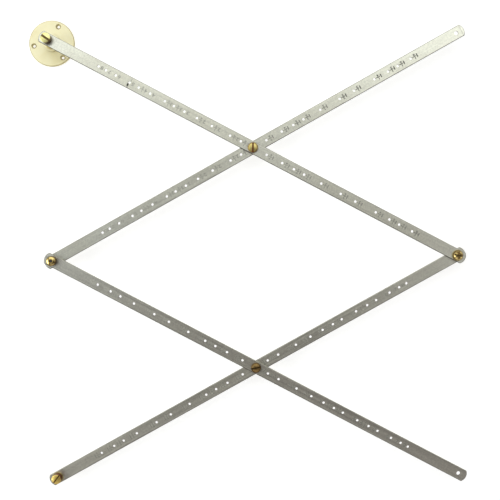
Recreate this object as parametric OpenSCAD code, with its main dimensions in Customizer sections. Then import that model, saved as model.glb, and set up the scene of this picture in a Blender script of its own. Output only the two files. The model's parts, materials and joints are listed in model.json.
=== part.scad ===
// Pantograph: four drilled bars pivoted as a parallelogram on a screw-down anchor, with a lead
// holder at the left corner and a tracing point at the lower left end.
// Millimetres. The origin is the anchor's axis at the paper, +Z is up, and the anchor, the lead
// and the tracing point lie along the Y axis.

/* [Bars] */
// Distance between the two end holes of a bar
pivot_span = 508; // [400:1:700]
// Width of a bar
bar_w = 13.3; // [12:0.1:15]
// Thickness of a bar
bar_t = 1.5; // [1:0.1:2.5]
// Radius of a bar's rounded end about its end hole
bar_end_r = 9.5; // [8.5:0.1:12]
// Diameter of the ratio holes
ratio_hole_d = 2.7; // [2.4:0.1:3.4]
// Diameter of the hole at each end of a bar
end_hole_d = 4.2; // [4:0.1:5]

/* [Setting] */
// Ratio whose holes hold the two crossing screws
set_ratio = 2; // [1.75, 2, 2.25, 2.5, 3]
// Angle between two crossed bars
spread = 57; // [30:0.1:140]
// Height of the lower bars above the paper
bar_height = 18; // [17:0.5:30]

/* [Anchor] */
// Diameter of the base plate
plate_d = 50.8; // [46:0.1:70]
// Thickness of the base plate
plate_t = 2.5; // [2:0.1:4]
// Width of the bevel round the plate's upper edge
plate_bevel = 0.8; // [0.2:0.1:1.2]
// Diameter of the circle on which the plate's screw holes lie
plate_circle_d = 40; // [32:0.5:42]
// Number of screw holes in the plate
plate_holes = 3; // [3:1:6]
// Angle of the first screw hole
plate_hole_turn = 67; // [0:1:119]
// Diameter of the plate's screw holes
plate_hole_d = 3.2; // [2.6:0.1:4]
// Diameter of their countersinks
plate_sink_d = 6; // [5:0.1:7]
// Diameter of the post's foot on the plate
post_foot_d = 19; // [14:0.5:22]
// Thickness of the post's foot
post_foot_t = 1.5; // [1:0.1:3]
// Height of the cone between the post's foot and its column
post_cone_h = 4; // [2:0.1:6]
// Diameter of the cone where it meets the foot
post_cone_d = 14; // [12.5:0.1:14]
// Diameter of the post's column
post_d = 9; // [8:0.1:12]
// Diameter of the post's end that is riveted into the plate
rivet_d = 6; // [4:0.1:8]
// Diameter of the anchor's knob
knob_d = 10.8; // [8:0.1:12]
// Height of the anchor's knob
knob_h = 6.8; // [6.6:0.1:12]
// Height of the knob's crown
knob_crown = 0.7; // [0.3:0.1:1.5]
// Width of the knob's screwdriver slot
knob_slot_w = 2.4; // [1:0.1:3]
// Length of the post's thread inside the knob
knob_thread_l = 4; // [3:0.1:4.2]

/* [Joint screws] */
// Diameter of the crossing screws' heads
head_d = 11; // [8:0.1:12]
// Height of the crossing screws' heads
head_h = 4; // [3:0.1:6]
// Height of their crown
head_crown = 1.2; // [0.4:0.1:1.6]
// Diameter of the corner screw's domed head
dome_d = 11.4; // [9:0.1:12]
// Height of the domed head
dome_h = 5; // [4:0.1:7]
// Height of the dome itself
dome_crown = 3.2; // [2:0.1:3.6]
// Width of the driver slots in the crossing screws and the corner screw
slot_w = 1.8; // [1:0.1:2]
// Depth of the driver slots in the screws and in the knob
slot_deep = 1.8; // [1:0.1:2]
// Diameter of the thread on the corner screw, the tracer and the post
thread_d = 3; // [2.5:0.1:3.4]
// Length of the threads on the corner screw, the tracer and the lead holder
thread_l = 6; // [4:0.1:6]
// Diameter of the round nuts under the crossings
nut_d = 10; // [8:0.1:12]
// Height of the round nuts
nut_h = 4; // [3:0.1:6]
// Length of screw that shows under a nut
nut_show = 0.6; // [0.2:0.1:1.5]
// Number of grooves round a nut
nut_grooves = 28; // [16:1:36]
// Diameter of the washers between the bars and at the anchor
spacer_d = 10; // [8:0.1:12]
// Thickness of those washers
spacer_t = 0.5; // [0.3:0.1:1]
// Diameter of the wide washers under the corner's and the tracer's heads
washer_d = 12.4; // [12:0.1:14]
// Thickness of the wide washers
washer_t = 0.8; // [0.5:0.1:1.5]
// Width of a groove in the nuts and thumb screws
groove_w = 0.6; // [0.4:0.1:0.7]

/* [Corner foot] */
// Diameter of the foot under the right corner
foot_d = 10; // [8:0.1:12]
// Length of the foot's straight collar
foot_collar_h = 4; // [2:0.1:6]
// Diameter of the foot's waist
foot_waist_d = 6.4; // [5:0.1:7]

/* [Lead holder] */
// Diameter of the drawing lead
lead_d = 2; // [1.6:0.1:2.2]
// Length of the lead's sharpened tip
lead_tip_l = 2.4; // [1.5:0.1:3]
// Diameter of the lead's blunt end on the paper
lead_tip_d = 0.5; // [0.3:0.1:0.8]
// Depth of the lead's top end below the top of the knob
lead_sunk = 1.6; // [0.5:0.1:4]
// Diameter of the holder's knob
holder_d = 10.8; // [8:0.1:12]
// Height of the holder's knob
holder_h = 6.8; // [5:0.1:12]
// Height of the knob's crown
holder_crown = 1.6; // [0.5:0.1:2.5]
// Diameter of the countersink in the knob
holder_sink_d = 5; // [3.5:0.1:6]
// Depth of the countersink
holder_sink_deep = 1.3; // [0.5:0.1:3]
// Diameter of the holder's thread
holder_thread_d = 3.6; // [3.4:0.1:3.8]

/* [Sleeves] */
// Diameter of the sleeves under the lead holder and the tracer
sleeve_d = 9; // [8:0.1:11]
// Diameter of a sleeve at its tip
sleeve_tip_d = 4.4; // [4:0.1:6]
// Length of a sleeve's cone
sleeve_cone_h = 3.5; // [2:0.1:4]
// Height of a sleeve's tip above the paper
sleeve_lift = 3.5; // [3:0.1:5]
// Diameter of the thumb screws' shanks
thumb_shank_d = 2; // [1.5:0.1:2.2]
// Diameter of the thumb screws' heads
thumb_d = 5; // [4:0.1:6]
// Length of the thumb screws' heads
thumb_l = 3; // [2:0.1:5]
// Gap between a thumb screw's head and its sleeve
thumb_gap = 0.4; // [0.2:0.1:1]
// Number of grooves round a thumb screw's head
thumb_grooves = 14; // [8:1:16]
// Distance from the top of a sleeve's cone up to the thumb screw's axis
thumb_rise = 1.6; // [1.4:0.1:2]

/* [Tracer] */
// Diameter of the tracer's head
tracer_head_d = 10.4; // [8:0.1:12]
// Height of the tracer's head
tracer_head_h = 7; // [5:0.1:10]
// Height of the head's crown
tracer_crown = 0.9; // [0.3:0.1:1.5]
// Width of the driver slot in the tracer's head
tracer_slot_w = 1.2; // [0.8:0.1:2]
// Diameter of the steel point
point_d = 2.5; // [2:0.1:3]
// Length of the point's taper
point_taper_l = 3.4; // [2:0.1:5]
// Diameter of the point's blunt end
point_tip_d = 0.6; // [0.3:0.1:1]
// Room between the steel point's top and the tracer's thread
point_room = 1.4; // [0.5:0.1:2]

/* [Slots] */
// Turn of the anchor knob's slot, from +X
knob_slot_turn = -36; // [-90:1:90]
// Turn of the upper crossing screw's slot
upper_slot_turn = 88; // [-90:1:90]
// Turn of the lower crossing screw's slot
lower_slot_turn = 12; // [-90:1:90]
// Turn of the corner screw's slot
corner_slot_turn = -12; // [-90:1:90]
// Turn of the tracer head's slot
tracer_slot_turn = 53; // [-90:1:90]

/* [Fits] */
// Radial clearance of a shank that turns or slides in its hole
run_gap = 0.06; // [0.02:0.01:0.1]
// Radial clearance at the lower crossing, which closes the frame
loose_gap = 0.1; // [0.06:0.01:0.2]
// Radial clearance of a thread, a rivet or a seated screw
seat_gap = 0.05; // [0.02:0.01:0.1]
// End play that lets the bars turn under their screws
end_play = 0.1; // [0.05:0.01:0.3]

/* [Hidden] */
$fn = 96;

// Enlarging ratios that the holes are drilled and numbered for
ratios = [
    8, 7, 6, 5, 4.5, 4, 3.5, 3.25, 3, 2.75, 2.5, 2.25, 2.125, 2,
    1.875, 1.75, 5 / 3, 1.6, 1.5, 1.4, 4 / 3, 1.25, 1.2, 7 / 6, 1.125
];
holes_from_start = [for (ratio = ratios) pivot_span / ratio];
holes_from_end = [for (ratio = ratios) pivot_span - pivot_span / ratio];

// Levels of the two layers of bars
low_z = bar_height;
low_top = low_z + bar_t;
high_z = low_top + spacer_t;
high_top = high_z + bar_t;
seat_z = low_z - end_play;

// Pivots in plan
half = spread / 2;
falling = [cos(half), -sin(half)];
rising = [cos(half), sin(half)];
short_side = pivot_span / set_ratio;
long_side = pivot_span - short_side;
anchor_at = [0, 0];
upper_at = short_side * falling;
corner_at = pivot_span * falling;
left_at = upper_at - short_side * rising;
lower_at = left_at + long_side * falling;
tracer_at = corner_at - pivot_span * rising;

// Shanks, bores and threads
end_shank_d = end_hole_d - 2 * run_gap;
cross_shank_d = ratio_hole_d - 2 * run_gap;
loose_shank_d = ratio_hole_d - 2 * loose_gap;
thread_bore_d = thread_d + 2 * seat_gap;
thread_bore_l = thread_l + seat_gap;
lead_bore_d = lead_d + 2 * run_gap;
point_bore_d = point_d + 2 * seat_gap;
holder_bore_d = holder_thread_d + 2 * seat_gap;
cross_shank_l = high_top - seat_z + nut_h + nut_show;
sleeve_h = seat_z - sleeve_lift;
point_l = seat_z - thread_l - point_room;
thumb_z = sleeve_lift + sleeve_cone_h + thumb_rise;
// Extra length of a cutting tool past the face that it cuts
past = 1;

brass = "#cdb05c";
pale_brass = "#e6d9a2";
satin_metal = "#c6c7bd";
steel = "#8f9092";
graphite = "#3c3c40";

// Puts children at a point in plan and a height
module at(point, z = 0) {
    translate([point[0], point[1], z]) children();
}

// Flat outline of a bar that starts at the origin and runs along +X
module bar_outline() {
    intersection() {
        translate([-bar_end_r, -bar_w / 2]) square([pivot_span + 2 * bar_end_r, bar_w]);
        union() {
            circle(r = bar_end_r);
            translate([pivot_span, 0]) circle(r = bar_end_r);
            translate([0, -bar_w / 2]) square([pivot_span, bar_w]);
        }
    }
}

// A bar with its two end holes and a row of ratio holes
module bar(start, turn, z, holes) {
    color(satin_metal) at(start, z) rotate(turn) linear_extrude(bar_t) difference() {
        bar_outline();
        for (x = [0, pivot_span]) translate([x, 0]) circle(d = end_hole_d);
        for (x = holes) translate([x, 0]) circle(d = ratio_hole_d);
    }
}

// A flat ring that stands on the plane z = 0
module ring(outer_d, inner_d, thick) {
    difference() {
        cylinder(d = outer_d, h = thick);
        translate([0, 0, -past]) cylinder(d = inner_d, h = thick + 2 * past);
    }
}

// A round head with a crowned top, standing on the plane z = 0
module crowned(d, h, crown) {
    crown_r = (d * d / 4 + crown * crown) / (2 * crown);
    intersection() {
        cylinder(d = d, h = h);
        translate([0, 0, h - crown_r]) sphere(r = crown_r);
    }
}

// The same head with a screwdriver slot
module slotted(d, h, crown, turn, width) {
    difference() {
        crowned(d, h, crown);
        rotate(turn) translate([-d, -width / 2, h - slot_deep]) cube([2 * d, width, slot_deep + past]);
    }
}

// Round stock with shallow grooves along its side
module grooved(d, h, count) {
    difference() {
        cylinder(d = d, h = h);
        for (i = [0 : count - 1]) rotate(i * 360 / count) translate([d / 2, 0, -past])
            cylinder(d = groove_w, h = h + 2 * past, $fn = 24);
    }
}

// A screw whose head stands on z = 0, with a shank below and an optional thinner thread under it.
// The head is given as its diameter, height, crown, slot turn and slot width.
module pivot_screw(head, shank_d, shank_l, thin_l = 0) {
    slotted(head[0], head[1], head[2], head[3], head[4]);
    translate([0, 0, -shank_l]) cylinder(d = shank_d, h = shank_l);
    if (thin_l > 0) translate([0, 0, -shank_l - thin_l]) cylinder(d = thread_d, h = thin_l);
}

// A round nut whose top face lies on the plane z = 0
module round_nut(bore_d) {
    translate([0, 0, -nut_h]) difference() {
        grooved(nut_d, nut_h, nut_grooves);
        translate([0, 0, -past]) cylinder(d = bore_d, h = nut_h + 2 * past);
    }
}

// A sleeve from under the bars down to near the paper, with a thread above and a narrow bore below
module sleeve(upper_bore_d, lower_bore_d) {
    straight_z = sleeve_lift + sleeve_cone_h;
    difference() {
        union() {
            translate([0, 0, straight_z]) cylinder(d = sleeve_d, h = seat_z - straight_z);
            translate([0, 0, sleeve_lift]) cylinder(d1 = sleeve_tip_d, d2 = sleeve_d, h = sleeve_cone_h);
        }
        translate([0, 0, sleeve_lift - past]) cylinder(d = lower_bore_d, h = sleeve_h + past);
        translate([0, 0, seat_z - thread_bore_l]) cylinder(d = upper_bore_d, h = thread_bore_l + past);
        translate([0, 0, thumb_z]) rotate([0, 90, 0])
            cylinder(d = thumb_shank_d + 2 * seat_gap, h = sleeve_d);
    }
}

// A thumb screw along +X whose end bears on a rod of the given bore
module thumb_screw(bore_d) {
    inner_x = bore_d / 2;
    head_x = sleeve_d / 2 + thumb_gap;
    translate([0, 0, thumb_z]) rotate([0, 90, 0]) {
        translate([0, 0, inner_x]) cylinder(d = thumb_shank_d, h = head_x - inner_x);
        translate([0, 0, head_x]) grooved(thumb_d, thumb_l, thumb_grooves);
    }
}

// A rod from the paper up, with a blunt tapered tip
module tipped_rod(d, tip_d, tip_l, length) {
    cylinder(d1 = tip_d, d2 = d, h = tip_l);
    translate([0, 0, tip_l]) cylinder(d = d, h = length - tip_l);
}

module base_plate() {
    sink_deep = (plate_sink_d - plate_hole_d) / 2;
    bevel_z = plate_t - plate_bevel;
    color(pale_brass) difference() {
        union() {
            cylinder(d = plate_d, h = bevel_z);
            translate([0, 0, bevel_z])
                cylinder(d1 = plate_d, d2 = plate_d - 2 * plate_bevel, h = plate_bevel);
        }
        translate([0, 0, -past]) cylinder(d = rivet_d + 2 * seat_gap, h = plate_t + 2 * past);
        for (i = [0 : plate_holes - 1]) rotate(plate_hole_turn + i * 360 / plate_holes)
            translate([plate_circle_d / 2, 0, 0]) {
                translate([0, 0, -past]) cylinder(d = plate_hole_d, h = plate_t + 2 * past);
                translate([0, 0, plate_t - sink_deep])
                    cylinder(d1 = plate_hole_d, d2 = plate_sink_d, h = sink_deep);
            }
    }
}

module anchor_post() {
    shoulder_z = high_z - spacer_t;
    knob_z = high_top + spacer_t + end_play;
    cone_z = plate_t + post_foot_t;
    color(brass) {
        translate([0, 0, seat_gap]) cylinder(d = rivet_d, h = plate_t - seat_gap);
        translate([0, 0, plate_t]) cylinder(d = post_foot_d, h = post_foot_t);
        translate([0, 0, cone_z]) cylinder(d1 = post_cone_d, d2 = post_d, h = post_cone_h);
        translate([0, 0, cone_z]) cylinder(d = post_d, h = shoulder_z - cone_z);
        translate([0, 0, shoulder_z]) cylinder(d = end_shank_d, h = knob_z - shoulder_z);
        translate([0, 0, knob_z]) cylinder(d = thread_d, h = knob_thread_l);
    }
}

module anchor_washers() {
    color(brass) for (z = [high_z - spacer_t, high_top])
        translate([0, 0, z]) ring(spacer_d, end_hole_d, spacer_t);
}

module anchor_knob() {
    color(brass) translate([0, 0, high_top + spacer_t + end_play]) difference() {
        slotted(knob_d, knob_h, knob_crown, knob_slot_turn, knob_slot_w);
        translate([0, 0, -past]) cylinder(d = thread_bore_d, h = knob_thread_l + seat_gap + past);
    }
}

module anchor_bar() {
    bar(anchor_at, -half, high_z, holes_from_start);
}

module upper_cross_bar() {
    bar(left_at, half, low_z, holes_from_start);
}

module lower_cross_bar() {
    bar(left_at, -half, high_z, holes_from_end);
}

module tracer_bar() {
    bar(corner_at, 180 + half, low_z, holes_from_start);
}

module upper_screw() {
    color(brass) at(upper_at, high_top)
        pivot_screw([head_d, head_h, head_crown, upper_slot_turn, slot_w], cross_shank_d, cross_shank_l);
}

module upper_spacer() {
    color(brass) at(upper_at, low_top) ring(spacer_d, ratio_hole_d, spacer_t);
}

module upper_nut() {
    color(brass) at(upper_at, seat_z) round_nut(cross_shank_d + 2 * seat_gap);
}

module lower_screw() {
    color(brass) at(lower_at, high_top)
        pivot_screw([head_d, head_h, head_crown, lower_slot_turn, slot_w], loose_shank_d, cross_shank_l);
}

module lower_spacer() {
    color(brass) at(lower_at, low_top) ring(spacer_d, ratio_hole_d, spacer_t);
}

module lower_nut() {
    color(brass) at(lower_at, seat_z) round_nut(loose_shank_d + 2 * seat_gap);
}

module corner_screw() {
    color(brass) at(corner_at, high_top + washer_t)
        pivot_screw([dome_d, dome_h, dome_crown, corner_slot_turn, slot_w],
            end_shank_d, high_top + washer_t - seat_z, thread_l);
}

module corner_washer() {
    color(brass) at(corner_at, high_top) ring(washer_d, end_hole_d, washer_t);
}

module corner_spacer() {
    color(brass) at(corner_at, low_top) ring(spacer_d, end_hole_d, spacer_t);
}

module corner_foot() {
    color(brass) at(corner_at) difference() {
        union() {
            translate([0, 0, foot_d / 2]) sphere(d = foot_d);
            translate([0, 0, foot_d / 2]) cylinder(d = foot_waist_d, h = seat_z - foot_d / 2);
            translate([0, 0, seat_z - foot_collar_h]) cylinder(d = foot_d, h = foot_collar_h);
        }
        translate([0, 0, seat_z - thread_bore_l]) cylinder(d = thread_bore_d, h = thread_bore_l + past);
    }
}

module lead_holder() {
    color(brass) at(left_at, high_top) difference() {
        union() {
            crowned(holder_d, holder_h, holder_crown);
            translate([0, 0, seat_z - high_top]) cylinder(d = end_shank_d, h = high_top - seat_z);
            translate([0, 0, seat_z - high_top - thread_l]) cylinder(d = holder_thread_d, h = thread_l);
        }
        translate([0, 0, seat_z - high_top - thread_l - past])
            cylinder(d = lead_bore_d, h = holder_h + high_top - seat_z + thread_l + 2 * past);
        translate([0, 0, holder_h - holder_sink_deep])
            cylinder(d1 = lead_bore_d, d2 = holder_sink_d, h = holder_sink_deep);
    }
}

module lead_spacer() {
    color(brass) at(left_at, low_top) ring(spacer_d, end_hole_d, spacer_t);
}

module lead_nose() {
    color(brass) at(left_at) rotate(half) sleeve(holder_bore_d, lead_bore_d);
}

module drawing_lead() {
    color(graphite) at(left_at)
        tipped_rod(lead_d, lead_tip_d, lead_tip_l, high_top + holder_h - lead_sunk);
}

module lead_clamp_screw() {
    color(brass) at(left_at) rotate(half) thumb_screw(lead_bore_d);
}

module tracer_screw() {
    color(brass) at(tracer_at, low_top + washer_t)
        pivot_screw([tracer_head_d, tracer_head_h, tracer_crown, tracer_slot_turn, tracer_slot_w],
            end_shank_d, low_top + washer_t - seat_z, thread_l);
}

module tracer_washer() {
    color(brass) at(tracer_at, low_top) ring(washer_d, end_hole_d, washer_t);
}

module tracer_sleeve() {
    color(brass) at(tracer_at) rotate(half) sleeve(thread_bore_d, point_bore_d);
}

module tracer_point() {
    color(steel) at(tracer_at) tipped_rod(point_d, point_tip_d, point_taper_l, point_l);
}

module tracer_set_screw() {
    color(brass) at(tracer_at) rotate(half) thumb_screw(point_bore_d);
}

base_plate();
anchor_post();
anchor_washers();
anchor_knob();
anchor_bar();
upper_cross_bar();
lower_cross_bar();
tracer_bar();
upper_screw();
upper_spacer();
upper_nut();
lower_screw();
lower_spacer();
lower_nut();
corner_screw();
corner_washer();
corner_spacer();
corner_foot();
lead_holder();
lead_spacer();
lead_nose();
drawing_lead();
lead_clamp_screw();
tracer_screw();
tracer_washer();
tracer_sleeve();
tracer_point();
tracer_set_screw();
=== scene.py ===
"""The looks of a drawing pantograph: brushed and numbered bars, turned brass fittings and a pale studio.

Every piece is drawn in millimetres in a frame of its own and is scaled to metres as it is put in its place.
"""

import json
import logging
from dataclasses import dataclass
from enum import Enum
from fractions import Fraction
from functools import cache
from math import asin, atan2, cos, hypot, inf, pi, radians, sin, tau

import bmesh
import bpy
from mathutils import Euler, Matrix, Vector


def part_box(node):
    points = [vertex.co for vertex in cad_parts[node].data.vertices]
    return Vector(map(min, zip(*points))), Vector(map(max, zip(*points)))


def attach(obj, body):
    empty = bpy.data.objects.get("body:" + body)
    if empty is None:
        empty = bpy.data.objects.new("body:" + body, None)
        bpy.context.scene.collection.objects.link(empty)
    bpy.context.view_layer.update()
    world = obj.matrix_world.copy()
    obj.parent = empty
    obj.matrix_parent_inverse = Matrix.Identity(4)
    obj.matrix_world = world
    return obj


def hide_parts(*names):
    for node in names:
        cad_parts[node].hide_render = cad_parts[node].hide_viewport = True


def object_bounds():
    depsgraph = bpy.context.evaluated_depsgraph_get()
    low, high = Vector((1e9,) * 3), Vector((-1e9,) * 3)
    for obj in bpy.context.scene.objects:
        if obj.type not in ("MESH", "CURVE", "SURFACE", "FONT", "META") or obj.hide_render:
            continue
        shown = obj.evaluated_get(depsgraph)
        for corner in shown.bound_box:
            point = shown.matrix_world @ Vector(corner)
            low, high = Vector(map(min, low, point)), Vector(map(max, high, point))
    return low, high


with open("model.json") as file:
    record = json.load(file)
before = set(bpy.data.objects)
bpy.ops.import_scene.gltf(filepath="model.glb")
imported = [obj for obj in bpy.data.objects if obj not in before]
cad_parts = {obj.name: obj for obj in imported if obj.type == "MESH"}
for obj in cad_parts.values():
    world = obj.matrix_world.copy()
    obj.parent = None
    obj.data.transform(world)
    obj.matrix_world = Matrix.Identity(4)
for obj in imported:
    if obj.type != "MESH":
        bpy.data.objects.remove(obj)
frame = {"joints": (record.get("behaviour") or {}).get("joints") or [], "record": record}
CAD_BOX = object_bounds()

LOG = logging.getLogger("pantograph")
MM = 0.001
# Distance within which a point counts as lying at a level or on a wall, in millimetres
NEAR = 1e-3
# Distance within which two points of a turned piece are joined, in millimetres
WELD = 1e-4
# Distance within which a cut takes a point as lying on its plane, in millimetres
ON_PLANE = 1e-5
# Least angle between two faces that stays a crisp edge, in degrees
CRISP = 50.0
# Least angle between two faces whose edge is eased, in degrees
EASED = 30.0
# Flats that a turned piece has for each groove of its knurl
GROOVE_FLATS = 4
# Range in which most of a noise texture's values lie
NOISE_RANGE = (0.3, 0.7)
# Attribute that keeps where each point lay while its piece was drawn, in millimetres
DRAWN = "drawn"
# Attribute that says how dark a number's fill is, from worn to fresh
INK = "ink"

Colour = tuple[float, float, float, float]
Range = tuple[float, float]
Triple = tuple[float, float, float]
Value = float | tuple | bpy.types.NodeSocket
Loop = list[bmesh.types.BMEdge]
Stroke = tuple[bpy.types.Mesh, float, float]


class Graph:
    """A node tree that is written as calls."""

    def __init__(self, tree: bpy.types.NodeTree) -> None:
        """Start on an emptied tree.

        Args:
            tree: the tree to fill.
        """
        self.tree = tree
        tree.nodes.clear()

    def add(self, kind: str, inputs: dict[str | int, Value] | None = None,
            **settings: object) -> bpy.types.Node:
        """Add a node, set its options and link or fill its inputs.

        Args:
            kind: Blender's name of the node type.
            inputs: a socket to link or a value to set, by the input's name or number.
            settings: the node's own options.

        Returns:
            The new node.
        """
        node = self.tree.nodes.new(kind)
        for name, value in settings.items():
            setattr(node, name, value)
        for name, value in (inputs or {}).items():
            if isinstance(value, bpy.types.NodeSocket):
                self.tree.links.new(value, node.inputs[name])
            else:
                node.inputs[name].default_value = value
        return node

    def math(self, operation: str, a: Value, b: Value = 0.0) -> bpy.types.NodeSocket:
        """Add a Math node and return its result."""
        return self.add("ShaderNodeMath", {0: a, 1: b}, operation=operation).outputs[0]

    def fit(self, value: Value, given: Range, wanted: Range = (0.0, 1.0)) -> bpy.types.NodeSocket:
        """Map a value smoothly from one range to another and return the result."""
        inputs = dict(zip(("Value", "From Min", "From Max", "To Min", "To Max"), (value, *given, *wanted)))
        return self.add("ShaderNodeMapRange", inputs, interpolation_type="SMOOTHSTEP").outputs[0]

    def vary(self, noise: Value, wanted: Range) -> bpy.types.NodeSocket:
        """Map a noise's usual range to another one and return the result."""
        return self.fit(noise, NOISE_RANGE, wanted)

    def mix(self, factor: Value, a: Value, b: Value, blend: str = "MIX") -> bpy.types.NodeSocket:
        """Mix two colours, which are a Mix node's inputs 6 and 7, and return the result, its output 2."""
        node = self.add("ShaderNodeMix", {0: factor, 6: a, 7: b}, data_type="RGBA", blend_type=blend)
        return node.outputs[2]

    def shaded(self, colour: Value, shade: Value) -> bpy.types.NodeSocket:
        """Multiply a colour by a plain value and return the result."""
        grey = self.add("ShaderNodeCombineColor", {0: shade, 1: shade, 2: shade}).outputs[0]
        return self.mix(1.0, colour, grey, "MULTIPLY")

    def stretch(self, place: Value, scale: Triple, turn: float = 0.0) -> bpy.types.NodeSocket:
        """Turn a place about Z and scale it, and return the result."""
        inputs = {"Vector": place, "Rotation": (0.0, 0.0, turn), "Scale": scale}
        return self.add("ShaderNodeMapping", inputs).outputs[0]

    def noise(self, place: Value, scale: float = 1.0, detail: float = 2.0) -> bpy.types.NodeSocket:
        """Add a Noise texture and return its value."""
        return self.add("ShaderNodeTexNoise", {"Vector": place, "Scale": scale, "Detail": detail}).outputs[0]

    def drawn(self) -> bpy.types.NodeSocket:
        """Return where a point lies on its piece, in millimetres."""
        return self.add("ShaderNodeAttribute", attribute_name=DRAWN).outputs["Vector"]

    def whole(self) -> bpy.types.NodeSocket:
        """Return where a point lies on the whole object, in metres."""
        return self.add("ShaderNodeTexCoord").outputs["Object"]

    def group(self, tree: bpy.types.NodeTree, inputs: dict[str, Value]) -> bpy.types.Node:
        """Place a shared node group and return its node."""
        return self.add("ShaderNodeGroup", inputs, node_tree=tree)


def start_group(name: str, inputs: dict[str, str]) -> tuple[Graph, bpy.types.Node]:
    """Make a node group with named inputs.

    Args:
        name: the group's name.
        inputs: the kind of socket for each input.

    Returns:
        The group's graph and its input node.
    """
    tree = bpy.data.node_groups.new(name, "ShaderNodeTree")
    for label, kind in inputs.items():
        tree.interface.new_socket(label, in_out="INPUT", socket_type=kind)
    graph = Graph(tree)
    return graph, graph.add("NodeGroupInput")


def end_group(graph: Graph, results: dict[str, bpy.types.NodeSocket]) -> bpy.types.NodeTree:
    """Close a node group with named outputs, which are all plain values.

    Args:
        graph: the group's graph.
        results: what each output gives.

    Returns:
        The finished group.
    """
    for label in results:
        graph.tree.interface.new_socket(label, in_out="OUTPUT", socket_type="NodeSocketFloat")
    graph.add("NodeGroupOutput", results)
    return graph.tree


@cache
def brushed_grain() -> bpy.types.NodeTree:
    """Make the group for long fine scratches along X, with a coarser set of streaks among them.

    Returns:
        The group.
    """
    fine_stretch, coarse_stretch = (0.03, 5.0, 1.0), (0.012, 1.3, 1.0)
    graph, given = start_group("brushed_grain", {"Place": "NodeSocketVector", "Fineness": "NodeSocketFloat"})
    place, fineness = given.outputs["Place"], given.outputs["Fineness"]
    fine = graph.noise(graph.stretch(place, fine_stretch), detail=3.0)
    coarse = graph.noise(graph.stretch(place, coarse_stretch))
    both = graph.math("ADD", graph.math("MULTIPLY", fine, fineness), coarse)
    return end_group(graph, {"Streak": graph.math("DIVIDE", both, graph.math("ADD", fineness, 1.0))})


@cache
def turning_marks() -> bpy.types.NodeTree:
    """Make the group for the fine rings that a lathe tool leaves round the Z axis.

    Returns:
        The group, which also gives the distance from the axis.
    """
    graph, given = start_group("turning_marks", {"Place": "NodeSocketVector", "Pitch": "NodeSocketFloat"})
    place = given.outputs["Place"]
    flat = graph.add("ShaderNodeVectorMath", {0: place, 1: (1.0, 1.0, 0.0)}, operation="MULTIPLY")
    radius = graph.add("ShaderNodeVectorMath", {0: flat.outputs[0]}, operation="LENGTH").outputs["Value"]
    height = graph.add("ShaderNodeSeparateXYZ", {0: place}).outputs["Z"]
    along = graph.math("DIVIDE", graph.math("ADD", radius, height), given.outputs["Pitch"])
    ring = graph.add("ShaderNodeTexNoise", {"W": along, "Scale": 1.0, "Detail": 2.0}, noise_dimensions="1D")
    return end_group(graph, {"Ring": ring.outputs[0], "Radius": radius})


@cache
def tarnish() -> bpy.types.NodeTree:
    """Make the group for soft handling stains with a finer mottle inside them.

    Returns:
        The group.
    """
    faint_to_full, finer = (0.42, 0.68), 9.0
    graph, given = start_group("tarnish", {"Place": "NodeSocketVector", "Size": "NodeSocketFloat"})
    scale = graph.math("DIVIDE", 1.0, given.outputs["Size"])
    spot = graph.add("ShaderNodeVectorMath", {0: given.outputs["Place"], "Scale": scale}, operation="SCALE")
    stain = graph.fit(graph.noise(spot.outputs[0], detail=4.0), faint_to_full)
    return end_group(graph, {"Stain": stain, "Mottle": graph.noise(spot.outputs[0], finer, detail=3.0)})


@cache
def hairline_scratches() -> bpy.types.NodeTree:
    """Make the group for sparse hairline scratches in two directions.

    Returns:
        The group.
    """
    turns, thin_stretch, faint_to_full = (0.35, -0.9), (0.16, 7.0, 1.0), (0.70, 0.78)
    graph, given = start_group("hairline_scratches", {"Place": "NodeSocketVector"})
    places = [graph.stretch(given.outputs["Place"], thin_stretch, turn) for turn in turns]
    lines = [graph.fit(graph.noise(place, detail=1.0), faint_to_full) for place in places]
    return end_group(graph, {"Line": graph.math("MAXIMUM", *lines)})


def start_material(name: str) -> tuple[bpy.types.Material, Graph]:
    """Make an empty node material.

    Args:
        name: the material's name.

    Returns:
        The material and its graph.
    """
    material = bpy.data.materials.new(name)
    material.use_nodes = True
    return material, Graph(material.node_tree)


def end_material(graph: Graph, inputs: dict[str, Value], height: Value, depth: float) -> None:
    """Close a material with a Principled shader and a bump.

    Args:
        graph: the material's graph.
        inputs: the shader's inputs by name.
        height: the relief, from 0 to 1.
        depth: the depth of that relief, in millimetres.
    """
    bump = graph.add("ShaderNodeBump", {"Strength": 1.0, "Distance": depth * MM, "Height": height})
    shader = graph.add("ShaderNodeBsdfPrincipled", {**inputs, "Normal": bump.outputs[0]})
    graph.add("ShaderNodeOutputMaterial", {"Surface": shader.outputs[0]})


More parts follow.
